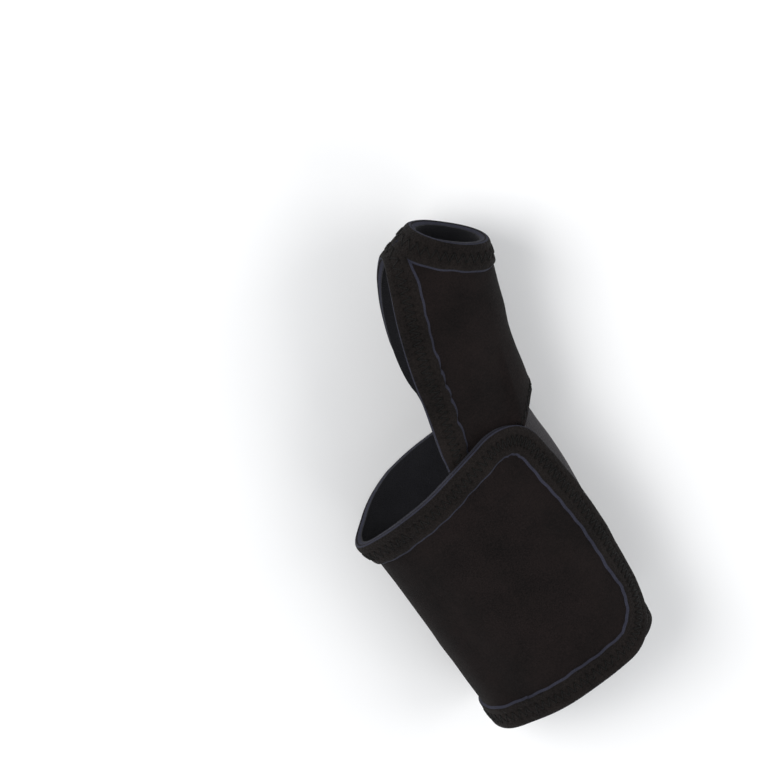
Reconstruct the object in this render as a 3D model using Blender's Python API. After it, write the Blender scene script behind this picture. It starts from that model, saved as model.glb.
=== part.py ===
"""Wrist and thumb wrap brace for a right hand, lying palm up on its dorsal side, closed as worn.

X points to the thumb side, Y to the fingers and Z out of the palm. Sizes are in millimetres
until shell() writes them in metres. Every fabric panel is a laminate of lining, foam and face.
"""

import math

import bmesh
import bpy
import numpy as np
from mathutils import Matrix, Vector

MM = 0.001

# Limb that the brace is cut round
MID_X = -0.15  # centre of the wrist oval
ULNAR_HALF = 32.65
RADIAL_HALF = 32.65  # at the hand end
RADIAL_TAPER = 8.0  # how much narrower the thumb side is at the forearm end
TAPER_LENGTH = 62.0
HALF_DEPTH = 20.0
WRIST_POWER = 2.5  # superellipse exponent of the wrist oval
DORSAL_FLAT = 1.06  # over 1 cuts the dorsal side flat

# Laminate, as offsets from the limb
LINING = (0.0, 0.4)
FOAM = (0.48, 1.72)
FACE = (1.8, 2.2)
TRIM = (2.45, 3.25)
WEB_TRIM = (2.5, 3.25)
TRIM_WIDTH = 9.6
SEAM_GAP = 0.3
BASE_GAP = 1.0  # between the sleeve and the body panel, which it turns away from
HOOK = (-1.05, -0.3)  # under the strap's lining

# Panels, as angles round the limb: 0 thumb side, 90 palm, 180 little finger side, -90 dorsal
TAB_ANGLE = 86.0
TAB_SPLIT = 56.0  # black palm tab to grey loop panel
STRAP_LIFT = 3.55  # the strap's height over the limb where it lies on the body panel
LIFT_ANGLES = (138.0, 96.0)
PEEL_ANGLE = 104.0
TRIM_RELIEF = 1.6  # how far short of the peel line the strap's first trims end, in degrees
HINGE_ANGLE = 179.75

# Strap outline, flat
STRAP_TOP_ULNAR = 80.7
STRAP_TOP_RADIAL = 93.4
STRAP_END_TOP_ANGLE = 40.0
STRAP_END_LOW_ANGLE = 19.0
TOP_CORNER = 11.5
LOW_CORNER = 24.0
HOOK_SIZE = (15.0, 54.0)
HOOK_INSET = 3.0

# Thumb sleeve
SLEEVE_LIFT = 2.4  # over the grey panel at its thumb-side base
BASE_Y = 85.5
OPEN_X, OPEN_Y = 53.9, 146.1  # thumb side of the limb at the opening
OPEN_HALF_WIDTH = 10.6
OPEN_HALF_DEPTH = 9.7
OPEN_RISE = 10.0
OPEN_POWER = 2.05
BASE_LEAN = 7.5
LEAN_GAIN = 35.5
LEAN_POWER = 1.5
WIDTH_POWER = 1.5
WEB_APEX = 0.815  # where the web edge turns over, as a share of the sleeve
WEB_POWER = 1.5
DORSAL_EDGE = 84.0

# Joint axes and the part's own origin
STRAP_AXIS = (-36.6, 0.0)
CENTRE = (10.457, 81.763)
FLOOR = HALF_DEPTH + TRIM[1]

COLOURS = {
    "black_pile": ((0.012, 0.010, 0.0095), 0.94),
    "black_trim": ((0.014, 0.0135, 0.011), 0.96),
    "grey_loop": ((0.046, 0.042, 0.045), 0.85),
    "navy_foam": ((0.028, 0.030, 0.048), 0.80),
    "lining_knit": ((0.016, 0.016, 0.019), 0.88),
    "hook_tape": ((0.014, 0.014, 0.015), 0.55),
}


def clear_scene():
    for thing in list(bpy.data.objects):
        bpy.data.objects.remove(thing, do_unlink=True)
    for mesh in list(bpy.data.meshes):
        bpy.data.meshes.remove(mesh)


def smooth(value):
    """0 below 0, 1 above 1 and a soft step between."""
    t = np.clip(value, 0.0, 1.0)
    return t * t * (3.0 - 2.0 * t)


def oval(angle, power, flat):
    """Cosine and sine of a superellipse, the sine cut flat on the dorsal side."""
    c = np.cos(np.radians(angle))
    s = np.sin(np.radians(angle))
    across = np.sign(c) * np.abs(c) ** (2.0 / power)
    deep = np.sign(s) * np.abs(s) ** (2.0 / power)
    cut = np.maximum(deep * flat, -1.0)
    return across, np.where(deep < 0.0, cut, deep)


def wrist(angle, y):
    """The limb inside the wrap."""
    across, deep = oval(angle, WRIST_POWER, DORSAL_FLAT)
    radial = RADIAL_HALF - RADIAL_TAPER * (1.0 - np.clip(y / TAPER_LENGTH, 0.0, 1.0))
    half = np.where(across > 0.0, radial, ULNAR_HALF)
    return np.stack([MID_X + half * across, y, HALF_DEPTH * deep], axis=-1)


def thumb(angle, share):
    """The limb inside the thumb sleeve: share runs from the wrist, 0, to the opening, 1."""
    grown = np.maximum(share, 0.0)
    power = WRIST_POWER + (OPEN_POWER - WRIST_POWER) * share
    flat = DORSAL_FLAT + (1.0 - DORSAL_FLAT) * np.clip(2.0 * share, 0.0, 1.0)
    across, deep = oval(angle, power, flat)
    left = np.maximum(1.0 - share, 0.0)
    lean = np.radians(BASE_LEAN + LEAN_GAIN * (1.0 - left**LEAN_POWER))
    wide = RADIAL_HALF / math.cos(math.radians(BASE_LEAN))
    half = OPEN_HALF_WIDTH + (wide - OPEN_HALF_WIDTH) * (1.0 - grown**WIDTH_POWER)
    depth = OPEN_HALF_DEPTH + (HALF_DEPTH - OPEN_HALF_DEPTH) * (1.0 - grown**1.7)
    side_x = MID_X + RADIAL_HALF + share * (OPEN_X - MID_X - RADIAL_HALF)
    side_y = BASE_Y + share * (OPEN_Y - BASE_Y)
    x = side_x - half * (1.0 - across) * np.cos(lean)
    y = side_y + half * (1.0 - across) * np.sin(lean)
    z = OPEN_RISE * grown**1.2 + depth * deep
    return np.stack([x, y, z], axis=-1)


def normals(surface, a, b):
    """Outward unit normals of a surface at its two parameters."""
    da, db = 0.4, 0.01
    if surface is wrist:
        db = 0.5
    along_a = surface(a + da, b) - surface(a - da, b)
    along_b = surface(a, b + db) - surface(a, b - db)
    found = np.cross(along_b, along_a)
    return found / np.linalg.norm(found, axis=-1, keepdims=True)


def body_point(angle, y, height):
    return wrist(angle, y) + normals(wrist, angle, y) * height[..., None]


def strap_point(angle, y, height):
    start, end = LIFT_ANGLES
    over = STRAP_LIFT * smooth((start - angle) / (start - end))
    lift = height + over
    return wrist(angle, y) + normals(wrist, angle, y) * lift[..., None]


def sleeve_point(angle, share, height):
    sides = smooth((52.0 - angle) / 16.0) * smooth((angle + 48.0) / 20.0)
    over = SLEEVE_LIFT * sides * (1.0 - smooth((share - 0.12) / 0.22))
    lift = height + over
    return thumb(angle, share) + normals(thumb, angle, share) * lift[..., None]


def sleeve_start(angle):
    """Where the sleeve begins, as a share, so that it clears the strap's corner."""
    palm = 0.105 * smooth((angle - 26.0) / 18.0) * smooth((84.0 - angle) / 32.0)
    side = 0.055 * smooth((12.0 - angle) / 24.0) * smooth((angle + 80.0) / 30.0)
    return palm + side


def web_angles(share):
    """(dorsal, palm) angles of the web edge, which meet at the apex."""
    rest = np.sqrt(1.0 - np.clip(share / WEB_APEX, 0.0, 1.0) ** WEB_POWER)
    return -180.0 + (180.0 - DORSAL_EDGE) * rest, 180.0 - (180.0 - TAB_ANGLE) * rest


def arc_table(point, y):
    """Angles and the matching lengths round the limb at one height, from 180 downwards."""
    angles = np.linspace(180.0, -180.0, 1441)
    line = point(angles, np.full_like(angles, y), np.full_like(angles, FOAM[0]))
    steps = np.linalg.norm(np.diff(line, axis=0), axis=1)
    return angles, np.concatenate([[0.0], np.cumsum(steps)])


STRAP_ANGLES, STRAP_LENGTHS = arc_table(strap_point, 45.0)


def strap_length(angle):
    return np.interp(-np.asarray(angle), -STRAP_ANGLES, STRAP_LENGTHS)


def strap_angle(length):
    return np.interp(length, STRAP_LENGTHS, STRAP_ANGLES)


def strap_top(length):
    """Height of the strap's hand-end edge at a length from the little finger side."""
    share = length / strap_length(STRAP_END_TOP_ANGLE)
    return STRAP_TOP_ULNAR + (STRAP_TOP_RADIAL - STRAP_TOP_ULNAR) * share


def body_top(angle):
    """Height of the body panel's hand-end edge: under the sleeve it runs on as an underlay."""
    start = sleeve_start(angle)
    seam = thumb(angle, start)[..., 1] - BASE_GAP
    tuck = smooth((31.0 - angle) / 6.0) * smooth((angle + 20.0) / 6.0)
    ulnar = smooth((-DORSAL_EDGE - angle) / (180.0 - DORSAL_EDGE))
    seam = seam + 3.5 * tuck
    edge = thumb(np.full_like(angle, -DORSAL_EDGE), np.zeros_like(angle))[..., 1]
    slope = edge - SEAM_GAP + (STRAP_TOP_ULNAR - edge + SEAM_GAP) * ulnar
    return np.where(angle < -DORSAL_EDGE, slope, seam)


def material(name):
    found = bpy.data.materials.get(name)
    if found:
        return found
    colour, rough = COLOURS[name]
    made = bpy.data.materials.new(name)
    made.use_nodes = True
    shader = made.node_tree.nodes["Principled BSDF"]
    shader.inputs["Base Color"].default_value = (*colour, 1.0)
    shader.inputs["Roughness"].default_value = rough
    shader.inputs["Metallic"].default_value = 0.0
    return made


def shell(name, point, a, b, offsets, look, parent, ring_from=None):
    """One closed solid between two offsets of a grid of surface parameters.

    From row ring_from on, the first and last columns are one, so that the sheet is a tube.
    """
    rows, cols = a.shape
    bm = bmesh.new()
    sides = []
    for offset in offsets:
        places = point(a, b, np.full_like(a, offset))
        grid = []
        for r in range(rows):
            closed = ring_from is not None and r >= ring_from
            count = cols - 1 if closed else cols
            line = [bm.verts.new(Vector(places[r, c]) * MM) for c in range(count)]
            grid.append(line + line[:1] if closed else line)
        sides.append(grid)
    low, high = sides
    for r in range(rows - 1):
        for c in range(cols - 1):
            for grid in sides:
                bm.faces.new([grid[r][c], grid[r][c + 1], grid[r + 1][c + 1], grid[r + 1][c]])
    walls = [[(0, c) for c in range(cols)], [(rows - 1, c) for c in range(cols)]]
    open_rows = rows if ring_from is None else ring_from + 1
    walls += [[(r, 0) for r in range(open_rows)], [(r, cols - 1) for r in range(open_rows)]]
    for wall in walls:
        for (r, c), (r2, c2) in zip(wall, wall[1:]):
            bm.faces.new([low[r][c], low[r2][c2], high[r2][c2], high[r][c]])
    bmesh.ops.recalc_face_normals(bm, faces=bm.faces)
    if bm.calc_volume(signed=True) < 0.0:
        bmesh.ops.reverse_faces(bm, faces=bm.faces)
    mesh = bpy.data.meshes.new(name)
    bm.to_mesh(mesh)
    bm.free()
    mesh.materials.append(material(look))
    made = bpy.data.objects.new(name, mesh)
    bpy.context.scene.collection.objects.link(made)
    pivot = Vector(parent["pivot"]) * MM
    mesh.transform(Matrix.Translation(-pivot))
    made.parent = parent
    return made


def pivot_empty(name, place, parent=None):
    """An empty on a joint's axis, for the pieces that turn about it."""
    made = bpy.data.objects.new(name, None)
    made.empty_display_size = 0.01
    bpy.context.scene.collection.objects.link(made)
    made["pivot"] = place
    at = Vector(place) * MM
    if parent:
        made.parent = parent
        at = at - Vector(parent["pivot"]) * MM
    made.location = at
    return made


def inset(point, a, b, width, turn):
    """Moves a line on a surface sideways by width, along the surface, in small steps."""
    a, b = a.copy(), b.copy()
    steps = 6
    zero = np.zeros_like(a)
    tangent = np.gradient(point(a, b, zero), axis=0)
    for _ in range(steps):
        along_a = (point(a + 0.2, b, zero) - point(a - 0.2, b, zero)) / 0.4
        db = 0.002 if point is sleeve_point else 0.2
        along_b = (point(a, b + db, zero) - point(a, b - db, zero)) / (2.0 * db)
        normal = np.cross(along_b, along_a)
        side = np.cross(tangent, normal) * turn
        side /= np.linalg.norm(side, axis=-1, keepdims=True)
        aa = np.sum(along_a * along_a, axis=-1)
        ab = np.sum(along_a * along_b, axis=-1)
        bb = np.sum(along_b * along_b, axis=-1)
        sa = np.sum(side * along_a, axis=-1)
        sb = np.sum(side * along_b, axis=-1)
        det = aa * bb - ab * ab
        a = a + (sa * bb - sb * ab) / det * width / steps
        b = b + (sb * aa - sa * ab) / det * width / steps
    return a, b


def strip(name, point, a, b, width, turn, look, parent, limit=None, lines=3, offsets=TRIM):
    """A trim strip sewn along an edge given as a line of surface parameters."""
    wide_a, wide_b = [], []
    for k in range(lines):
        na, nb = inset(point, a, b, width * k / (lines - 1), turn)
        if limit is not None:
            nb = np.minimum(nb, limit(na))
        wide_a.append(na)
        wide_b.append(nb)
    grid_a = np.stack(wide_a, axis=1)
    grid_b = np.stack(wide_b, axis=1)
    return shell(name, point, grid_a, grid_b, offsets, look, parent)


def panel(prefix, point, a, b, parent, ring_from=None, face="black_pile", face_name=None):
    """Lining, foam and face of one laminate."""
    shell(prefix + "_lining", point, a, b, LINING, "lining_knit", parent, ring_from)
    shell(prefix + "_foam", point, a, b, FOAM, "navy_foam", parent, ring_from)
    if face:
        shell(face_name or prefix + "_face", point, a, b, FACE, face, parent, ring_from)


def grid_under(angles, top):
    """A grid from the forearm edge to a hand-end edge, a column for each angle."""
    zero = np.zeros_like(top)
    b = np.stack([zero, zero + TAPER_LENGTH / 2.0, zero + TAPER_LENGTH, top])
    return np.broadcast_to(angles, b.shape).copy(), b


def build_body(root):
    angles = np.concatenate(
        [
            np.linspace(TAB_ANGLE, TAB_SPLIT, 6),
            np.linspace(TAB_SPLIT, -HINGE_ANGLE, 37)[1:],
        ]
    )
    top = body_top(angles)
    a, b = grid_under(angles, top)
    panel("body", body_point, a, b, root, face=None)
    palm = angles >= TAB_SPLIT
    a, b = grid_under(angles[palm], top[palm])
    a[:, -1] += 0.25
    shell("palm_tab_face", body_point, a, b, FACE, "black_pile", root)
    loop = angles <= TAB_SPLIT
    a, b = grid_under(angles[loop], top[loop])
    a[:, 0] -= 0.25
    shell("loop_panel", body_point, a, b, FACE, "grey_loop", root)

    y = np.linspace(0.3, body_top(np.array([TAB_ANGLE]))[0] - 2.4, 14)
    edge = np.full_like(y, TAB_ANGLE)
    strip("palm_tab_trim", body_point, edge, y, TRIM_WIDTH, 1.0, "black_trim", root)
    inner, _ = inset(body_point, edge, y, TRIM_WIDTH + SEAM_GAP, 1.0)
    around = np.concatenate([[inner[0]], angles[angles < inner[0] - 1.0]])
    base = np.zeros_like(around)
    strip("body_bottom_trim", body_point, around, base, TRIM_WIDTH, -1.0, "black_trim", root)
    around = np.concatenate([[-DORSAL_EDGE - 0.6], angles[angles < -DORSAL_EDGE - 2.0]])
    rim = body_top(around)
    strip("body_top_trim", body_point, around, rim, TRIM_WIDTH, 1.0, "black_trim", root)


def build_sleeve(pivot):
    below = WEB_APEX * (1.0 - (1.0 - np.linspace(0.0, 1.0, 10)) ** 1.7)
    above = np.linspace(WEB_APEX, 1.0, 4)[1:]
    shares = np.concatenate([below, above])
    ring_row = len(below) - 1
    dorsal, palm = web_angles(shares)
    across = np.linspace(0.0, 1.0, 35)[None, :]
    a = dorsal[:, None] + (palm - dorsal)[:, None] * across
    start = sleeve_start(a)
    b = start + (1.0 - start) * shares[:, None]
    panel("sleeve", sleeve_point, a, b, pivot, ring_from=ring_row)

    around = np.linspace(-180.0, 180.0, 35)
    side = 0.5 * (1.0 - np.cos(np.radians(around)))
    drop = TRIM_WIDTH / (64.0 + 25.0 * side)
    rows = np.linspace(1.0, 0.0, 4)[:, None]
    a = np.broadcast_to(around, (4, 35)).copy()
    b = 1.0 - drop[None, :] * rows
    shell("thumb_opening_trim", sleeve_point, a, b, TRIM, "black_trim", pivot, ring_from=0)

    fine = WEB_APEX * (1.0 - (1.0 - np.linspace(0.008, 1.0, 19)) ** 2.0)
    edge = np.concatenate([fine, fine[-2::-1]])
    side_a = np.concatenate([web_angles(fine)[1], 360.0 + web_angles(fine[-2::-1])[0]])

    def under_opening(angle):
        wide = 0.5 * (1.0 - np.cos(np.radians(angle)))
        return 1.0 - (TRIM_WIDTH + SEAM_GAP) / (64.0 + 25.0 * wide)

    strip(
        "web_edge_trim",
        sleeve_point,
        side_a,
        edge,
        TRIM_WIDTH,
        1.0,
        "black_trim",
        pivot,
        limit=under_opening,
        lines=4,
        offsets=WEB_TRIM,
    )


def strap_outline(start):
    """The strap's edge as flat (length, height) points, from the forearm-end corner at start,
    round the free end to the hand-end edge at start."""
    low = float(strap_length(STRAP_END_LOW_ANGLE))
    high = float(strap_length(STRAP_END_TOP_ANGLE))
    corners = [
        (start, 0.0, 0.0),
        (low, 0.0, LOW_CORNER),
        (high, float(strap_top(high)), TOP_CORNER),
        (start, float(strap_top(start)), 0.0),
    ]
    path = [Vector(corners[0][:2])]
    for k in (1, 2):
        here = Vector(corners[k][:2])
        back = (Vector(corners[k - 1][:2]) - here).normalized()
        ahead = (Vector(corners[k + 1][:2]) - here).normalized()
        half = back.angle(ahead) / 2.0
        reach = corners[k][2] / math.tan(half)
        middle = here + (back + ahead).normalized() * (corners[k][2] / math.sin(half))
        first = here + back * reach - middle
        last = here + ahead * reach - middle
        turn = first.angle_signed(last)
        for step in range(9):
            angle = -turn * step / 8.0
            c, s = math.cos(angle), math.sin(angle)
            spoke = Vector((first.x * c - first.y * s, first.x * s + first.y * c))
            path.append(middle + spoke)
    path.append(Vector(corners[3][:2]))
    points = [path[0]]
    for here, there in zip(path, path[1:]):
        count = max(1, math.ceil((there - here).length / 5.5))
        points += [here.lerp(there, (i + 1) / count) for i in range(count)]
    return np.array([tuple(p) for p in points])


def build_strap_front(pivot):
    angles = np.linspace(HINGE_ANGLE, PEEL_ANGLE + 0.25, 13)
    top = strap_top(strap_length(angles))
    a, b = grid_under(angles, top)
    panel("strap_front", strap_point, a, b, pivot)
    low = np.zeros_like(angles)
    angles = np.maximum(angles, PEEL_ANGLE + TRIM_RELIEF)
    top = strap_top(strap_length(angles))
    strip("strap_front_top_trim", strap_point, angles, top, TRIM_WIDTH, 1.0, "black_trim", pivot)
    strip("strap_front_bottom_trim", strap_point, angles, low, TRIM_WIDTH, -1.0, "black_trim", pivot)


def build_strap_end(pivot):
    start = float(strap_length(PEEL_ANGLE - 0.25))
    line = strap_outline(start)
    far = int(np.argmax(line[:, 0]))
    reach = line[far, 0]
    share = 1.0 - (1.0 - np.linspace(0.0, 1.0, 19)) ** 1.5
    lengths = start + (reach - 0.2 - start) * share
    low = np.interp(lengths, line[: far + 1, 0], line[: far + 1, 1])
    high = np.interp(lengths, line[far:, 0][::-1], line[far:, 1][::-1])
    levels = np.array([0.0, TAPER_LENGTH / 2.0, TAPER_LENGTH, 2.0 * STRAP_TOP_RADIAL])[:, None]
    b = np.clip(levels, low[None, :], high[None, :])
    a = np.broadcast_to(strap_angle(lengths), b.shape).copy()
    panel("strap_end", strap_point, a, b, pivot)

    a = strap_angle(line[:, 0])
    strip("strap_end_trim", strap_point, a, line[:, 1], TRIM_WIDTH, -1.0, "black_trim", pivot)

    wide, tall = HOOK_SIZE
    middle = float(strap_length(STRAP_END_LOW_ANGLE)) - HOOK_INSET - wide
    lean = (strap_length(STRAP_END_TOP_ANGLE) - strap_length(STRAP_END_LOW_ANGLE)) / 91.0
    b = np.broadcast_to(np.linspace(16.0, 16.0 + tall, 6)[:, None], (6, 6)).copy()
    lengths = middle + np.linspace(0.0, wide, 6)[None, :] + lean * (b - 16.0)
    shell("hook_patch", strap_point, strap_angle(lengths), b, HOOK, "hook_tape", pivot)


def main():
    clear_scene()
    scene = bpy.context.scene
    scene.unit_settings.system = "METRIC"
    scene.unit_settings.length_unit = "MILLIMETERS"
    root = pivot_empty("gauntlet_origin", (CENTRE[0], CENTRE[1], -FLOOR))
    strap_pivot = pivot_empty("strap_hinge", (STRAP_AXIS[0], CENTRE[1], STRAP_AXIS[1]), root)
    peel = strap_point(np.array([PEEL_ANGLE]), np.array([40.0]), np.array([TRIM[1] + 0.3]))[0]
    peel_pivot = pivot_empty("peel_hinge", (peel[0], CENTRE[1], peel[2]), strap_pivot)
    thumb_pivot = pivot_empty("thumb_hinge", (38.2, BASE_Y - 0.5, 0.0), root)
    build_body(root)
    build_sleeve(thumb_pivot)
    build_strap_front(strap_pivot)
    build_strap_end(peel_pivot)
    root.location = (0.0, 0.0, 0.0)  # puts the base's centre on the world's origin


main()
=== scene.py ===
import math

import bpy
import numpy as np
from mathutils import Matrix, Vector


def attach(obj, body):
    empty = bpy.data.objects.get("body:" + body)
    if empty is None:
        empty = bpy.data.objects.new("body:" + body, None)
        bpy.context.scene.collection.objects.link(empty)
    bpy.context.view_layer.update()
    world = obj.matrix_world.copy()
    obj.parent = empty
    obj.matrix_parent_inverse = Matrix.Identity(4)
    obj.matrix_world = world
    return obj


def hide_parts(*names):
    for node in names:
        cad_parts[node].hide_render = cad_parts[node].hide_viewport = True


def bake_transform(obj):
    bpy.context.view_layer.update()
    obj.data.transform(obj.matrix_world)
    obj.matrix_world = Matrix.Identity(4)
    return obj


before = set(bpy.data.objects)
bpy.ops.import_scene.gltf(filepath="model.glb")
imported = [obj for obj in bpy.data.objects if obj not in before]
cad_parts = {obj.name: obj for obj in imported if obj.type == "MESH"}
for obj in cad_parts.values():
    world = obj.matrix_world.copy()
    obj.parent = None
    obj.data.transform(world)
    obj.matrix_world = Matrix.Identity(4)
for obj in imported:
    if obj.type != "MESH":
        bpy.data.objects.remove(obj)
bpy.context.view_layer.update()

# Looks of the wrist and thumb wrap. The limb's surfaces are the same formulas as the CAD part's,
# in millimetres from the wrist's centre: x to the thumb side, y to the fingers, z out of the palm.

MM = 0.001
CENTRE = (10.457, 81.763)
FLOOR = 23.25

# Limb
MID_X = -0.15
ULNAR_HALF = 32.65
RADIAL_HALF = 32.65
RADIAL_TAPER = 8.0
TAPER_LENGTH = 62.0
HALF_DEPTH = 20.0
WRIST_POWER = 2.5
DORSAL_FLAT = 1.06

# Laminate, as offsets from the limb
LINING = (0.0, 0.4)
FOAM = (0.45, 1.74)
FACE = (1.78, 2.22)
TRIM_BASE = 2.28
TRIM_TOP = 3.3
TRIM_WIDTH = 9.6
HOOK = (-1.05, -0.3)

# Panels, as angles round the limb
TAB_ANGLE = 86.0
TAB_SPLIT = 56.0
DORSAL_SPLIT = -128.0  # where the wrap's bending stretch begins, on the dorsal side
PALM_SPLIT = 124.0  # where it ends and the strap's end begins
STRAP_LIFT = 3.55
LIFT_ANGLES = (138.0, 96.0)
STRAP_TOP_ULNAR = 80.7
STRAP_TOP_RADIAL = 96.5
STRAP_END_TOP_ANGLE = 40.0
STRAP_END_LOW_ANGLE = 15.0
TOP_CORNER = 14.0
LOW_CORNER = 21.0
CORNER_FLARE = 2.6  # how far the little finger side's corner stands off the limb
CORNER_ANGLE = 176.0
HOOK_SIZE = (15.0, 54.0)
HOOK_INSET = 3.0
HOOK_LOW = 16.0  # the tape's lower end, above the forearm edge
HOOK_PITCH = 1.5
HOOK_MARGIN = 0.8
HOOK_RADIUS = 0.1
FREE_END_HEIGHT = 91.0

# Thumb sleeve
SLEEVE_LIFT = 2.4
SLEEVE_ROUND = 0.12  # how far up its thumb side the sleeve's rounded corner starts, as a share
BASE_Y = 85.5
BASE_GAP = 0.3
UNDERLAY = 4.0  # how far the body panel runs on under the sleeve
OPEN_X, OPEN_Y = 53.9, 146.1
OPEN_HALF_WIDTH = 10.6
OPEN_HALF_DEPTH = 9.7
OPEN_RISE = 10.0
OPEN_POWER = 2.05
BASE_LEAN = 7.5
LEAN_GAIN = 35.5
LEAN_POWER = 1.5
WIDTH_POWER = 1.5
WEB_APEX = 0.815
WEB_POWER = 1.5
WEB_SPREAD = 3.5  # how far the palm's web edge fans out at its foot, in degrees
DORSAL_EDGE = 84.0

# Sewing
STITCH_STEP = 1.2  # along the trim, from one needle hole to the next
STITCH_EDGES = (0.34, 0.66)  # where the zig-zag turns, across the trim
PIT_DEPTH = 0.5
PIT_RADIUS = 0.46
THREAD_RADIUS = 0.17

# Waves in the worn fabric, as heights and seeds
BODY_WAVE = (0.22, 3)
STRAP_WAVE = (0.3, 7)
SLEEVE_WAVE = (0.3, 11)

# Stage
FLOOR_HALF = 3.0
FLOOR_DROP = 0.0006  # keeps the floor under the lowest trim


def smooth(value):
    t = np.clip(value, 0.0, 1.0)
    return t * t * (3.0 - 2.0 * t)


def oval(angle, power, flat):
    c = np.cos(np.radians(angle))
    s = np.sin(np.radians(angle))
    across = np.sign(c) * np.abs(c) ** (2.0 / power)
    deep = np.sign(s) * np.abs(s) ** (2.0 / power)
    cut = np.maximum(deep * flat, -1.0)
    return across, np.where(deep < 0.0, cut, deep)


def wrist(angle, y):
    across, deep = oval(angle, WRIST_POWER, DORSAL_FLAT)
    radial = RADIAL_HALF - RADIAL_TAPER * (1.0 - smooth(y / TAPER_LENGTH * 0.9))
    half = np.where(across > 0.0, radial, ULNAR_HALF)
    return np.stack([MID_X + half * across, y, HALF_DEPTH * deep], axis=-1)


def thumb(angle, share):
    grown = np.maximum(share, 0.0)
    power = WRIST_POWER + (OPEN_POWER - WRIST_POWER) * share
    flat = DORSAL_FLAT + (1.0 - DORSAL_FLAT) * np.clip(2.0 * share, 0.0, 1.0)
    across, deep = oval(angle, power, flat)
    left = np.maximum(1.0 - share, 0.0)
    lean = np.radians(BASE_LEAN + LEAN_GAIN * (1.0 - left**LEAN_POWER))
    wide = RADIAL_HALF / math.cos(math.radians(BASE_LEAN))
    half = OPEN_HALF_WIDTH + (wide - OPEN_HALF_WIDTH) * (1.0 - grown**WIDTH_POWER)
    depth = OPEN_HALF_DEPTH + (HALF_DEPTH - OPEN_HALF_DEPTH) * (1.0 - grown**1.7)
    side_x = MID_X + RADIAL_HALF + share * (OPEN_X - MID_X - RADIAL_HALF)
    side_y = BASE_Y + share * (OPEN_Y - BASE_Y)
    x = side_x - half * (1.0 - across) * np.cos(lean)
    y = side_y + half * (1.0 - across) * np.sin(lean)
    z = OPEN_RISE * grown**1.2 + depth * deep
    return np.stack([x, y, z], axis=-1)


def normals(surface, a, b):
    da, db = 1.2, 0.01
    if surface is wrist:
        db = 0.5
    along_a = surface(a + da, b) - surface(a - da, b)
    along_b = surface(a, b + db) - surface(a, b - db)
    found = np.cross(along_b, along_a)
    return found / np.linalg.norm(found, axis=-1, keepdims=True)


def undulation(place, seed):
    """Soft, low waves of a worn fabric, about 1 in height, from a few crossing sines."""
    rng = np.random.default_rng(seed)
    total = np.zeros(place.shape[:-1])
    for size, share in ((31.0, 0.45), (17.0, 0.35), (8.5, 0.2)):
        for _ in range(3):
            way = rng.normal(size=3)
            way /= np.linalg.norm(way)
            total += share / 1.8 * np.sin(place @ way * 2.0 * math.pi / size + rng.uniform(0.0, 6.3))
    return total


def waves(place, wave):
    height, seed = wave
    return height * undulation(place, seed)


def body_point(angle, y, height):
    base = wrist(angle, y)
    lift = height + waves(base, BODY_WAVE)
    return base + normals(wrist, angle, y) * lift[..., None]


def strap_point(angle, y, height):
    start, end = LIFT_ANGLES
    base = wrist(angle, y)
    over = STRAP_LIFT * smooth((start - angle) / (start - end))
    on_strap = smooth((CORNER_ANGLE - angle) / 30.0)
    lift = height + over + waves(base, STRAP_WAVE) * on_strap
    lift = lift + waves(base, BODY_WAVE) * (1.0 - on_strap)
    near_top = smooth((y - STRAP_TOP_ULNAR + 11.0) / 11.0)
    lift = lift + CORNER_FLARE * near_top * smooth(1.0 - np.abs(angle - CORNER_ANGLE) / 34.0)
    return base + normals(wrist, angle, y) * lift[..., None]


def sleeve_point(angle, share, height):
    sides = smooth((46.0 - angle) / 8.0) * smooth((angle + 48.0) / 20.0)
    over = SLEEVE_LIFT * sides * (1.0 - smooth((share - 0.12) / 0.42))
    base = thumb(angle, share)
    lift = height + over + waves(base, SLEEVE_WAVE) * smooth((share - 0.1) / 0.2)
    return base + normals(thumb, angle, share) * lift[..., None]


def sleeve_start(angle):
    return SLEEVE_ROUND * smooth((46.0 - angle) / 30.0) * smooth((angle + 80.0) / 40.0)


def web_angles(share):
    rest = np.sqrt(1.0 - np.clip(share / WEB_APEX, 0.0, 1.0) ** WEB_POWER)
    spread = WEB_SPREAD * (1.0 - smooth(share / 0.3))
    return -180.0 + (180.0 - DORSAL_EDGE) * rest, 180.0 - (180.0 - TAB_ANGLE) * rest + spread


def plain_strap(angle, y):
    start, end = LIFT_ANGLES
    over = STRAP_LIFT * smooth((start - angle) / (start - end))
    return wrist(angle, y) + normals(wrist, angle, y) * over[..., None]


ARC_ANGLES = np.linspace(236.0, -180.0, 1665)
ARC_LINE = plain_strap(ARC_ANGLES, np.full_like(ARC_ANGLES, 45.0))
ARC_STEPS = np.linalg.norm(np.diff(ARC_LINE, axis=0), axis=1)
ARC_LENGTHS = np.concatenate([[0.0], np.cumsum(ARC_STEPS)])
ARC_LENGTHS -= np.interp(-180.0, -ARC_ANGLES, ARC_LENGTHS)


def strap_length(angle):
    """Length round the limb from the little finger side, 180 degrees."""
    return np.interp(-np.asarray(angle), -ARC_ANGLES, ARC_LENGTHS)


def strap_angle(length):
    return np.interp(length, ARC_LENGTHS, ARC_ANGLES)


def strap_top(length):
    share = length / strap_length(STRAP_END_TOP_ANGLE)
    return STRAP_TOP_ULNAR + (STRAP_TOP_RADIAL - STRAP_TOP_ULNAR) * share


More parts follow.
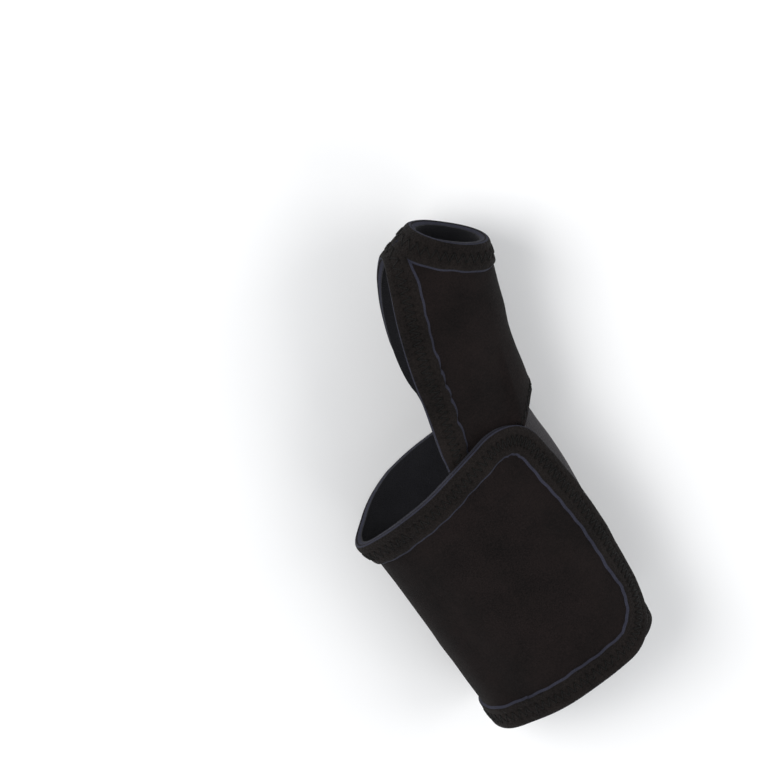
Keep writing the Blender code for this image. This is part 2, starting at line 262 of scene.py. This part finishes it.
def body_top(angle):
    start = sleeve_start(angle)
    seam = thumb(angle, start)[..., 1] - BASE_GAP
    seam = seam + UNDERLAY * smooth((40.0 - angle) / 6.0) * smooth((angle + 24.0) / 6.0)
    ulnar = smooth((-DORSAL_EDGE - angle) / (180.0 - DORSAL_EDGE))
    edge = thumb(np.full_like(angle, -DORSAL_EDGE), np.zeros_like(angle))[..., 1]
    slope = edge - 0.3 + (STRAP_TOP_ULNAR - edge + 0.3) * ulnar
    return np.where(angle < -DORSAL_EDGE, slope, seam)


def wrap_top(angle):
    """The hand-end edge round the little finger side, where body and strap are one sheet."""
    return np.where(angle > 180.0, body_top(angle - 360.0), strap_top(strap_length(angle)))


# Meshes


def make_mesh(name, points, faces, slots, looks):
    """An object in the row frame from points in part millimetres."""
    used, places = np.unique(faces, return_inverse=True)
    faces = places.reshape(faces.shape)
    points = points[used]
    placed = (points - np.array([CENTRE[0], CENTRE[1], -FLOOR])) * MM
    corners = placed[faces]
    first = np.cross(corners[:, 1] - corners[:, 0], corners[:, 2] - corners[:, 0])
    second = np.cross(corners[:, 2] - corners[:, 0], corners[:, 3] - corners[:, 0])
    middle = placed.mean(axis=0)
    volume = np.sum((corners[:, 0] - middle) * (first + second))
    if volume < 0.0:
        faces = faces[:, ::-1]
    mesh = bpy.data.meshes.new(name)
    polygons = []
    for face in faces.tolist():
        kept = [v for k, v in enumerate(face) if v not in face[:k]]
        polygons.append(kept)
    solid = [len(p) > 2 for p in polygons]
    mesh.from_pydata(placed.tolist(), [], [p for p, keep in zip(polygons, solid) if keep])
    for look in looks:
        mesh.materials.append(look)
    mesh.polygons.foreach_set("material_index", slots[np.array(solid)].astype(np.int32))
    mesh.polygons.foreach_set("use_smooth", np.ones(sum(solid), dtype=bool))
    mesh.set_sharp_from_angle(angle=math.radians(50.0))
    mesh.update()
    made = bpy.data.objects.new(name, mesh)
    bpy.context.scene.collection.objects.link(made)
    return made


def grid_faces(index):
    quads = np.stack([index[:-1, :-1], index[:-1, 1:], index[1:, 1:], index[1:, :-1]], axis=-1)
    return quads.reshape(-1, 4)


def wall_faces(low, high):
    return np.stack([low[:-1], low[1:], high[1:], high[:-1]], axis=-1)


def solid_sheet(name, low, high, looks, top_slots=None, ring_from=None):
    """A closed sheet between two grids. looks are the top's, the underside's and the cut edge's.

    From row ring_from on, the first and last columns are one."""
    rows, cols = high.shape[:2]
    top = np.arange(rows * cols).reshape(rows, cols)
    if ring_from is not None:
        top[ring_from:, -1] = top[ring_from:, 0]
    bottom = top + rows * cols
    parts = [grid_faces(top), grid_faces(bottom)[:, ::-1]]
    slots = [np.zeros(len(parts[0]), int), np.ones(len(parts[1]), int)]
    if top_slots is not None:
        slots[0] = top_slots.reshape(-1)
    open_rows = rows if ring_from is None else ring_from + 1
    walls = [
        wall_faces(bottom[0], top[0]),
        wall_faces(top[-1], bottom[-1]),
        wall_faces(top[:open_rows, 0], bottom[:open_rows, 0]),
        wall_faces(bottom[:open_rows, -1], top[:open_rows, -1]),
    ]
    for wall in walls:
        parts.append(wall)
        slots.append(np.full(len(wall), 2))
    points = np.concatenate([high.reshape(-1, 3), low.reshape(-1, 3)])
    return make_mesh(name, points, np.concatenate(parts), np.concatenate(slots), looks)


def layer(name, point, a, b, offsets, looks, ring_from=None):
    low = point(a, b, np.full_like(a, offsets[0]))
    high = point(a, b, np.full_like(a, offsets[1]))
    return solid_sheet(name, low, high, looks, ring_from=ring_from)


def inset(point, a, b, width, turn):
    """Moves a line on a surface sideways by width, along the surface."""
    a, b = a.copy(), b.copy()
    steps = 5
    zero = np.zeros_like(a)
    tangent = np.gradient(point(a, b, zero), axis=0)
    for _ in range(steps):
        along_a = (point(a + 0.2, b, zero) - point(a - 0.2, b, zero)) / 0.4
        db = 0.002 if point is sleeve_point else 0.2
        along_b = (point(a, b + db, zero) - point(a, b - db, zero)) / (2.0 * db)
        normal = np.cross(along_b, along_a)
        side = np.cross(tangent, normal) * turn
        side /= np.linalg.norm(side, axis=-1, keepdims=True)
        aa = np.sum(along_a * along_a, axis=-1)
        ab = np.sum(along_a * along_b, axis=-1)
        bb = np.sum(along_b * along_b, axis=-1)
        sa = np.sum(side * along_a, axis=-1)
        sb = np.sum(side * along_b, axis=-1)
        det = aa * bb - ab * ab
        a = a + (sa * bb - sb * ab) / det * width / steps
        b = b + (sb * aa - sa * ab) / det * width / steps
    return a, b


def even_line(point, a, b, step):
    """The same line with points a step apart, and how far along each is."""
    places = point(a, b, np.zeros_like(a))
    lengths = np.concatenate([[0.0], np.cumsum(np.linalg.norm(np.diff(places, axis=0), axis=1))])
    count = max(8, int(round(lengths[-1] / step)))
    along = np.linspace(0.0, lengths[-1], count + 1)
    return np.interp(along, lengths, a), np.interp(along, lengths, b), along


TRIM_PROFILE = (
    (0.0, 0.05),
    (0.012, 0.32),
    (0.04, 0.62),
    (0.085, 0.86),
    (0.13, 0.98),
    (0.19, 1.03),
    (0.25, 1.04),
    (0.295, 1.0),
    (0.34, 0.97),
    (0.385, 1.0),
    (0.43, 1.04),
    (0.5, 1.06),
    (0.57, 1.04),
    (0.615, 1.0),
    (0.66, 0.97),
    (0.705, 1.0),
    (0.76, 1.04),
    (0.82, 1.03),
    (0.875, 0.98),
    (0.905, 0.88),
    (0.928, 0.68),
    (0.95, 0.45),
    (0.975, 0.22),
    (1.0, 0.03),
)  # (across from the outer edge, share of the trim's height)
OUTER_RAW = 0.045
INNER_RAW = 0.93


def trim(name, point, a, b, turn, fixings, seed, limit=None):
    """A trim strip with raw edges and its zig-zag thread, along an edge line."""
    a, b, along = even_line(point, a, b, 0.4)
    rng = np.random.default_rng(seed)
    phases = rng.uniform(0.0, 6.3, 4)
    ripple = 0.02 * np.sin(along / 3.1 + phases[0]) * np.sin(along / 7.7 + phases[1])
    ripple += 0.012 * np.sin(along / 1.05 + phases[2])
    share = np.array([p[0] for p in TRIM_PROFILE])
    crown = np.array([p[1] for p in TRIM_PROFILE])
    grid_a, grid_b = [], []
    for u in share:
        width = TRIM_WIDTH * u * (1.0 + ripple * smooth((u - 0.6) / 0.4))
        na, nb = inset(point, a, b, width, turn)
        if limit is not None:
            nb = np.minimum(nb, limit(na) - 0.0004 * (1.0 - u))
        grid_a.append(na)
        grid_b.append(nb)
    grid_a = np.stack(grid_a, axis=1)
    grid_b = np.stack(grid_b, axis=1)
    place = np.broadcast_to(along[:, None], grid_a.shape)
    across = np.broadcast_to(share[None, :], grid_a.shape)
    beat = np.mod(place / STITCH_STEP, 2.0)
    pits = np.zeros_like(grid_a)
    for side, phase in zip(STITCH_EDGES, (0.0, 1.0)):
        gap = (np.mod(beat - phase + 1.0, 2.0) - 1.0) * STITCH_STEP
        sideways = (across - side) * TRIM_WIDTH
        pits += np.exp(-(gap**2 + sideways**2) / PIT_RADIUS**2)
    ripples = 0.05 * np.sin(place / 2.3 + phases[3]) * np.sin(across * 9.0 + place / 5.0)
    height = TRIM_BASE + (TRIM_TOP - TRIM_BASE) * crown[None, :] - PIT_DEPTH * pits + ripples * crown
    height = np.maximum(height, TRIM_BASE + 0.03)
    high = point(grid_a, grid_b, height)
    low = point(grid_a, grid_b, np.full_like(grid_a, TRIM_BASE))
    wander = 0.004 * np.sin(along / 2.9 + phases[0])
    mid = (across[:-1, :-1] + across[1:, 1:]) / 2.0
    raw = (mid < OUTER_RAW) | (mid > INNER_RAW + wander[:-1, None])
    looks = [TRIM_LOOK, FOAM_LOOK, FOAM_LOOK]
    made = solid_sheet(name, low, high, looks, raw.astype(int) * 2)
    thread = thread_along(name + "_thread", point, grid_a, grid_b, along, share)
    for piece in (made, thread):
        fixings(piece)
    return made, thread


def thread_along(name, point, grid_a, grid_b, along, share):
    """The zig-zag thread, a tube from needle hole to needle hole."""
    turns = np.arange(0.5, along[-1] / STITCH_STEP - 0.5)
    samples = []
    for k in range(len(turns) - 1):
        for part in (0.0, 0.12, 0.5, 0.88):
            swing = part if k % 2 == 0 else 1.0 - part
            u = STITCH_EDGES[0] + (STITCH_EDGES[1] - STITCH_EDGES[0]) * swing
            sink = -0.3 if part == 0.0 else 0.1 + 0.07 * math.sin(math.pi * part)
            samples.append(((k + part) * STITCH_STEP, u, sink))
    samples = np.array(samples)
    rows = np.interp(samples[:, 0], along, np.arange(len(along)))
    low = np.minimum(rows.astype(int), len(along) - 2)
    part = rows - low
    a = np.zeros(len(samples))
    b = np.zeros(len(samples))
    for k, line in enumerate(low):
        for side, weight in ((line, 1.0 - part[k]), (line + 1, part[k])):
            a[k] += weight * np.interp(samples[k, 1], share, grid_a[side])
            b[k] += weight * np.interp(samples[k, 1], share, grid_b[side])
    path = point(a, b, TRIM_TOP + 0.02 + samples[:, 2])
    return tubes(name, [path], THREAD_RADIUS, THREAD_LOOK)


def tube_grid(path, radius, sides):
    """The points and faces of one closed tube along a path."""
    tangent = np.gradient(path, axis=0)
    tangent /= np.linalg.norm(tangent, axis=1, keepdims=True)
    guess = np.tile([0.13, 0.31, 0.94], (len(path), 1))
    first = np.cross(tangent, guess)
    first /= np.linalg.norm(first, axis=1, keepdims=True)
    second = np.cross(tangent, first)
    turn = np.linspace(0.0, 2.0 * math.pi, sides, endpoint=False)
    ring = first[:, None] * np.cos(turn)[:, None] + second[:, None] * np.sin(turn)[:, None]
    points = (path[:, None] + ring * radius).reshape(-1, 3)
    index = np.arange(len(points)).reshape(len(path), sides)
    around = np.concatenate([index, index[:, :1]], axis=1)
    caps = []
    for k in range(1, sides - 1, 2):
        start = [index[0, 0], index[0, k], index[0, k + 1], index[0, (k + 2) % sides]]
        end = [index[-1, 0], index[-1, k], index[-1, k + 1], index[-1, (k + 2) % sides]]
        caps += [start[::-1], end]
    return points, np.concatenate([grid_faces(around), np.array(caps)])


def tubes(name, paths, radius, look, sides=6):
    """One object of a closed tube along each path."""
    points, faces, count = [], [], 0
    for path in paths:
        some, quads = tube_grid(path, radius, sides)
        points.append(some)
        faces.append(quads + count)
        count += len(some)
    faces = np.concatenate(faces)
    return make_mesh(name, np.concatenate(points), faces, np.zeros(len(faces), int), [look])


# Materials


def node_material(name):
    made = bpy.data.materials.new(name)
    made.use_nodes = True
    return made, made.node_tree, made.node_tree.nodes["Principled BSDF"]


def add(tree, kind, **values):
    node = tree.nodes.new(kind)
    for key, value in values.items():
        if key in node.inputs:
            node.inputs[key].default_value = value
        else:
            setattr(node, key, value)
    return node


def fabric(name, dark, light, rough, grain, bump, sheen, speck=0.35, weave=None):
    """A pile, knit or foam: speckled colour, slow variation in shade, and a fine bump."""
    made, tree, shader = node_material(name)
    place = add(tree, "ShaderNodeTexCoord")
    fine = add(tree, "ShaderNodeTexNoise", Scale=1000.0 / grain, Detail=5.0, Roughness=0.7)
    slow = add(tree, "ShaderNodeTexNoise", Scale=70.0, Detail=3.0, Roughness=0.6)
    for texture in (fine, slow):
        tree.links.new(place.outputs["Object"], texture.inputs["Vector"])
    ramp = add(tree, "ShaderNodeValToRGB")
    ramp.color_ramp.elements[0].position = 0.5 - speck / 2.0
    ramp.color_ramp.elements[1].position = 0.5 + speck / 2.0
    ramp.color_ramp.elements[0].color = (*dark, 1.0)
    ramp.color_ramp.elements[1].color = (*light, 1.0)
    shade = add(tree, "ShaderNodeMath", operation="MULTIPLY_ADD")
    shade.inputs[1].default_value = 0.45
    tree.links.new(slow.outputs["Fac"], shade.inputs[0])
    lean = add(tree, "ShaderNodeMath", operation="MULTIPLY_ADD")
    lean.inputs[1].default_value = 0.8
    lean.inputs[2].default_value = -0.12
    tree.links.new(fine.outputs["Fac"], lean.inputs[0])
    tree.links.new(lean.outputs[0], shade.inputs[2])
    tree.links.new(shade.outputs[0], ramp.inputs["Fac"])
    tree.links.new(ramp.outputs["Color"], shader.inputs["Base Color"])
    height = fine.outputs["Fac"]
    if weave:
        cells = add(tree, "ShaderNodeTexVoronoi", Scale=1000.0 / weave)
        tree.links.new(place.outputs["Object"], cells.inputs["Vector"])
        mixed = add(tree, "ShaderNodeMath", operation="ADD")
        tree.links.new(cells.outputs["Distance"], mixed.inputs[0])
        tree.links.new(fine.outputs["Fac"], mixed.inputs[1])
        height = mixed.outputs[0]
    relief = add(tree, "ShaderNodeBump", Strength=bump, Distance=0.0004)
    tree.links.new(height, relief.inputs["Height"])
    tree.links.new(relief.outputs["Normal"], shader.inputs["Normal"])
    wear = add(tree, "ShaderNodeMapRange")
    wear.inputs["To Min"].default_value = rough - 0.07
    wear.inputs["To Max"].default_value = min(rough + 0.05, 1.0)
    tree.links.new(slow.outputs["Fac"], wear.inputs["Value"])
    tree.links.new(wear.outputs["Result"], shader.inputs["Roughness"])
    shader.inputs["Sheen Weight"].default_value = sheen
    shader.inputs["Sheen Roughness"].default_value = 0.55
    shader.inputs["Specular IOR Level"].default_value = 0.12
    return made


PILE_LOOK = fabric(
    "black_pile_look", (0.0018, 0.0011, 0.0011), (0.0105, 0.0070, 0.0066), 0.93, 0.5, 0.9, 0.012, 0.3
)
TRIM_LOOK = fabric(
    "black_trim_look", (0.0015, 0.0011, 0.0010), (0.0145, 0.0112, 0.0100), 0.95, 0.6, 1.0, 0.015, 0.35, 0.75
)
GREY_LOOK = fabric(
    "grey_loop_look", (0.016, 0.0145, 0.016), (0.060, 0.055, 0.059), 0.9, 0.5, 0.9, 0.06, 0.45, 0.6
)
FOAM_LOOK = fabric(
    "navy_foam_look", (0.011, 0.0115, 0.0185), (0.041, 0.042, 0.062), 0.85, 0.35, 0.8, 0.01, 0.5
)
LINING_LOOK = fabric(
    "lining_look", (0.0045, 0.0045, 0.0060), (0.0170, 0.0170, 0.0205), 0.88, 0.35, 0.6, 0.05, 0.4, 0.45
)
THREAD_LOOK = fabric(
    "black_thread_look", (0.0015, 0.0015, 0.0015), (0.0075, 0.0073, 0.0066), 0.6, 0.15, 0.5, 0.02
)
HOOK_LOOK = fabric(
    "hook_tape_look", (0.004, 0.004, 0.005), (0.016, 0.016, 0.018), 0.5, 0.8, 0.6, 0.02, 0.4, 1.2
)


# Bodies that some pieces follow; the rest are baked where they stand


def on(body):
    def fix(piece):
        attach(piece, body)

    return fix


def bending():
    def fix(piece):
        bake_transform(piece)

    return fix


gauntlet = on("gauntlet")
round_side = bending()
round_peel = bending()
thumb_base = bending()


def under(angles, top, rows=70):
    share = np.linspace(0.0, 1.0, rows)[:, None]
    return np.broadcast_to(angles, (rows, len(angles))).copy(), share * top[None, :]


def fan(y):
    """How far the palm tab's edge has fanned out towards the foot of the web edge."""
    return WEB_SPREAD * smooth((y - 30.0) / 56.0)


def body_grid(angles):
    reach = smooth((angles - TAB_SPLIT) / (TAB_ANGLE - TAB_SPLIT))
    a, b = under(angles, body_top(angles + WEB_SPREAD * reach))
    return a + fan(b) * reach, b


def laminate(prefix, point, a, b, fix, face, ring_from=None):
    """Lining and foam, and a face unless it is None."""
    made = [
        layer(prefix + "_lining_cloth", point, a, b, LINING, [LINING_LOOK] * 3, ring_from),
        layer(prefix + "_foam_core", point, a, b, FOAM, [FOAM_LOOK] * 3, ring_from),
    ]
    if face:
        made.append(layer(prefix + "_face_cloth", point, a, b, FACE, [face] * 3, ring_from))
    for piece in made:
        fix(piece)
    return made


def build_body():
    angles = np.linspace(TAB_ANGLE, DORSAL_SPLIT, 170)
    a, b = body_grid(angles)
    lining, foam = laminate("body", body_point, a, b, gauntlet, None)
    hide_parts("body_lining")
    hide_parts("body_foam")
    split = angles >= TAB_SPLIT
    tab_angles = np.concatenate([angles[split], [TAB_SPLIT + 0.3]])
    a, b = body_grid(tab_angles)
    tab = layer("palm_tab_cloth", body_point, a, b, FACE, [PILE_LOOK] * 3)
    loop_angles = np.concatenate([[TAB_SPLIT - 0.3], angles[~split]])
    a, b = body_grid(loop_angles)
    loop = layer("loop_panel_cloth", body_point, a, b, FACE, [GREY_LOOK] * 3)
    gauntlet(tab)
    gauntlet(loop)
    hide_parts("palm_tab_face")
    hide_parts("loop_panel")

    y = np.linspace(0.3, float(body_top(np.array([TAB_ANGLE + WEB_SPREAD]))[0]) - 0.3, 60)
    edge = TAB_ANGLE + fan(y)
    tab_trim, tab_thread = trim("palm_tab_edging", body_point, edge, y, 1.0, gauntlet, 2)
    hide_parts("palm_tab_trim")
    inner, _ = inset(body_point, edge, y, TRIM_WIDTH + 0.5, 1.0)
    around = np.linspace(inner[0], DORSAL_SPLIT, 160)
    low_trim, low_thread = trim(
        "body_low_edging", body_point, around, np.zeros_like(around), -1.0, gauntlet, 3
    )
    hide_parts("body_bottom_trim")
    around = np.linspace(-DORSAL_EDGE - 0.6, DORSAL_SPLIT, 80)
    top_trim, top_thread = trim(
        "body_top_edging", body_point, around, body_top(around), 1.0, gauntlet, 4
    )
    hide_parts("body_top_trim")
    return lining, [foam, tab, loop, tab_trim, low_trim, top_trim, tab_thread, low_thread, top_thread]


def build_sleeve():
    below = WEB_APEX * (1.0 - (1.0 - np.linspace(0.0, 1.0, 46)) ** 1.7)
    above = np.linspace(WEB_APEX, 1.0, 16)[1:]
    shares = np.concatenate([below, above])
    ring_row = len(below) - 1
    dorsal, palm = web_angles(shares)
    across = np.linspace(0.0, 1.0, 181)[None, :]
    a = dorsal[:, None] + (palm - dorsal)[:, None] * across
    start = sleeve_start(a)
    b = start + (1.0 - start) * shares[:, None]
    lining, foam, face = laminate("sleeve", sleeve_point, a, b, thumb_base, PILE_LOOK, ring_row)
    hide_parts("sleeve_lining")
    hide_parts("sleeve_foam")
    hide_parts("sleeve_face")

    around = np.linspace(-179.95, 179.95, 200)
    mouth, mouth_thread = trim(
        "thumb_mouth_edging", sleeve_point, around, np.full_like(around, 0.9995), -1.0, thumb_base, 5
    )
    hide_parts("thumb_opening_trim")

    fine = WEB_APEX * (1.0 - (1.0 - np.linspace(0.008, 1.0, 60)) ** 2.0)
    edge = np.concatenate([fine, fine[-2::-1]])
    side_a = np.concatenate([web_angles(fine)[1], 360.0 + web_angles(fine[-2::-1])[0]])

    def under_opening(angle):
        wide = 0.5 * (1.0 - np.cos(np.radians(angle)))
        return 1.0 - (TRIM_WIDTH + 0.5) / (64.0 + 25.0 * wide)

    web, web_thread = trim(
        "web_edging", sleeve_point, side_a, edge, 1.0, thumb_base, 6, under_opening
    )
    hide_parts("web_edge_trim")
    seam = base_seam()
    thumb_base(seam)
    return lining, [foam, face, mouth, web, mouth_thread, web_thread, seam]


def base_seam():
    """The zig-zag thread that sews the sleeve's foot to the body panel."""
    angles, _, along = even_line(
        lambda a, b, h: sleeve_point(a, sleeve_start(a), h),
        np.linspace(TAB_ANGLE - 12.0, -DORSAL_EDGE + 10.0, 300),
        np.zeros(300),
        STITCH_STEP,
    )
    swing = np.where(np.arange(len(angles)) % 2 == 0, 0.018, 0.048)
    share = sleeve_start(angles) + swing
    path = sleeve_point(angles, share, np.full_like(angles, FACE[1] + 0.12))
    return tubes("sleeve_base_thread", [path], THREAD_RADIUS, THREAD_LOOK)


def strap_outline(start):
    """The strap's edge as flat (length, height) points, round the free end."""
    low = float(strap_length(STRAP_END_LOW_ANGLE))
    high = float(strap_length(STRAP_END_TOP_ANGLE))
    corners = [
        (start, 0.0, 0.0),
        (low, 0.0, LOW_CORNER),
        (high, float(strap_top(high)), TOP_CORNER),
        (start, float(strap_top(start)), 0.0),
    ]
    path = [Vector(corners[0][:2])]
    for k in (1, 2):
        here = Vector(corners[k][:2])
        back = (Vector(corners[k - 1][:2]) - here).normalized()
        ahead = (Vector(corners[k + 1][:2]) - here).normalized()
        half = back.angle(ahead) / 2.0
        reach = corners[k][2] / math.tan(half)
        middle = here + (back + ahead).normalized() * (corners[k][2] / math.sin(half))
        first = here + back * reach - middle
        last = here + ahead * reach - middle
        turn = first.angle_signed(last)
        for step in range(25):
            angle = -turn * step / 24.0
            c, s = math.cos(angle), math.sin(angle)
            path.append(middle + Vector((first.x * c - first.y * s, first.x * s + first.y * c)))
    path.append(Vector(corners[3][:2]))
    points = [path[0]]
    for here, there in zip(path, path[1:]):
        count = max(1, math.ceil((there - here).length / 1.5))
        points += [here.lerp(there, (i + 1) / count) for i in range(count)]
    return np.array([tuple(p) for p in points])


def build_strap_front():
    angles = np.linspace(360.0 + DORSAL_SPLIT, PALM_SPLIT, 110)
    top = wrap_top(angles)
    a, b = under(angles, top)
    lining, foam, face = laminate("wrap_side", strap_point, a, b, round_side, PILE_LOOK)
    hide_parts("strap_front_lining")
    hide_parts("strap_front_foam")
    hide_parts("strap_front_face")
    upper, upper_thread = trim("wrap_top_edging", strap_point, angles, top, 1.0, round_side, 7)
    lower, lower_thread = trim(
        "wrap_low_edging", strap_point, angles, np.zeros_like(angles), -1.0, round_side, 8
    )
    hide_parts("strap_front_top_trim")
    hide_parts("strap_front_bottom_trim")
    return lining, [foam, face, upper, lower, upper_thread, lower_thread]


def build_strap_end():
    start = float(strap_length(PALM_SPLIT))
    line = strap_outline(start)
    far = int(np.argmax(line[:, 0]))
    reach = line[far, 0]
    share = 1.0 - (1.0 - np.linspace(0.0, 1.0, 130)) ** 1.6
    lengths = start + (reach - 0.05 - start) * share
    low = np.interp(lengths, line[: far + 1, 0], line[: far + 1, 1])
    high = np.interp(lengths, line[far:, 0][::-1], line[far:, 1][::-1])
    rows = np.linspace(0.0, 1.0, 90)[:, None]
    b = low[None, :] + (high - low)[None, :] * rows
    a = np.broadcast_to(strap_angle(lengths), b.shape).copy()
    lining, foam, face = laminate("strap_end", strap_point, a, b, round_peel, PILE_LOOK)
    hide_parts("strap_end_lining")
    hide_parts("strap_end_foam")
    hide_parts("strap_end_face")
    edge, thread = trim(
        "strap_end_edging", strap_point, strap_angle(line[:, 0]), line[:, 1], -1.0, round_peel, 9
    )
    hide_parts("strap_end_trim")
    return lining, [foam, face, edge, thread, *build_hook_patch()]


def build_hook_patch():
    wide, tall = HOOK_SIZE
    middle = float(strap_length(STRAP_END_LOW_ANGLE)) - HOOK_INSET - wide
    lean = (strap_length(STRAP_END_TOP_ANGLE) - strap_length(STRAP_END_LOW_ANGLE)) / FREE_END_HEIGHT
    b = np.broadcast_to(np.linspace(HOOK_LOW, HOOK_LOW + tall, 40)[:, None], (40, 14)).copy()
    lengths = middle + np.linspace(0.0, wide, 14)[None, :] + lean * (b - HOOK_LOW)
    backing = (HOOK[0] + 0.35, HOOK[1])
    patch = layer("hook_tape", strap_point, strap_angle(lengths), b, backing, [HOOK_LOOK] * 3)
    paths = []
    for y in np.arange(b[0, 0] + HOOK_MARGIN, b[-1, 0] - 0.4, HOOK_PITCH):
        for reach in np.arange(HOOK_MARGIN, wide - 0.4, HOOK_PITCH):
            angle = strap_angle(middle + reach + lean * (y - b[0, 0]))
            turn = np.linspace(0.0, 1.0, 6)
            height = HOOK[0] + 0.4 - 0.62 * np.sin(turn * 2.2)
            paths.append(strap_point(np.full(6, angle), y + 0.55 * turn**2, height))
    hooks = tubes("hook_tape_hooks", paths, HOOK_RADIUS, HOOK_LOOK, sides=4)
    for piece in (patch, hooks):
        on("wrap_end")(piece)
    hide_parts("hook_patch")
    return [patch, hooks]


def studio():
    made, tree, shader = node_material("floor_look")
    shader.inputs["Base Color"].default_value = (0.86, 0.86, 0.86, 1.0)
    shader.inputs["Roughness"].default_value = 0.7
    mesh = bpy.data.meshes.new("floor")
    half = FLOOR_HALF
    corners = [(-half, -half, 0.0), (half, -half, 0.0), (half, half, 0.0), (-half, half, 0.0)]
    mesh.from_pydata(corners, [], [(0, 1, 2, 3)])
    mesh.materials.append(made)
    floor = bpy.data.objects.new("floor", mesh)
    floor.location.z = -FLOOR_DROP
    bpy.context.scene.collection.objects.link(floor)
    world = bpy.data.worlds.new("studio")
    world.use_nodes = True
    world.node_tree.nodes["Background"].inputs["Color"].default_value = (0.95, 0.97, 1.0, 1.0)
    world.node_tree.nodes["Background"].inputs["Strength"].default_value = 0.5
    bpy.context.scene.world = world
    bpy.context.scene.view_settings.view_transform = "Standard"
    target = Vector((0.0, 0.0, 0.02))
    for name, place, size, power in (
        ("key", (-0.55, 0.75, 1.1), 0.7, 14.0),
        ("fill", (0.9, -0.3, 0.9), 0.9, 5.0),
        ("back", (0.2, -1.0, 0.8), 0.8, 4.0),
    ):
        data = bpy.data.lights.new(name, "AREA")
        data.size = size
        data.energy = power
        light = bpy.data.objects.new(name, data)
        light.location = place
        light.rotation_mode = "QUATERNION"
        light.rotation_quaternion = (target - Vector(place)).to_track_quat("-Z", "Y")
        bpy.context.scene.collection.objects.link(light)


def camera():
    """Over the palm, tipped 20 degrees to the fingers and turned 36 degrees, with a long lens."""
    tip, turn, distance, field = math.radians(20.0), math.radians(36.0), 2.4, 0.2518
    aim = Vector((-0.0099, 0.0389, 0.02325))
    back = Vector((0.0, math.sin(tip), math.cos(tip)))
    level = Vector((0.0, math.cos(tip), -math.sin(tip)))
    side = Vector((math.cos(turn), 0.0, 0.0)) - level * math.sin(turn)
    up = back.cross(side)
    data = bpy.data.cameras.new("camera")
    data.lens = 36.0 * distance / field
    data.clip_end = 20.0
    made = bpy.data.objects.new("camera", data)
    made.rotation_mode = "QUATERNION"
    made.location = aim + back * distance
    made.rotation_quaternion = Matrix((side, up, back)).transposed().to_quaternion()
    bpy.context.scene.collection.objects.link(made)
    bpy.context.scene.camera = made


def main():
    camera()
    studio()
    for build, size in (
        (build_body, (96.0, 132.0)),
        (build_sleeve, (82.0, 118.0)),
        (build_strap_front, (84.0, 68.0)),
        (build_strap_end, (95.0, 66.0)),
    ):
        sheet, pieces = build()


main()
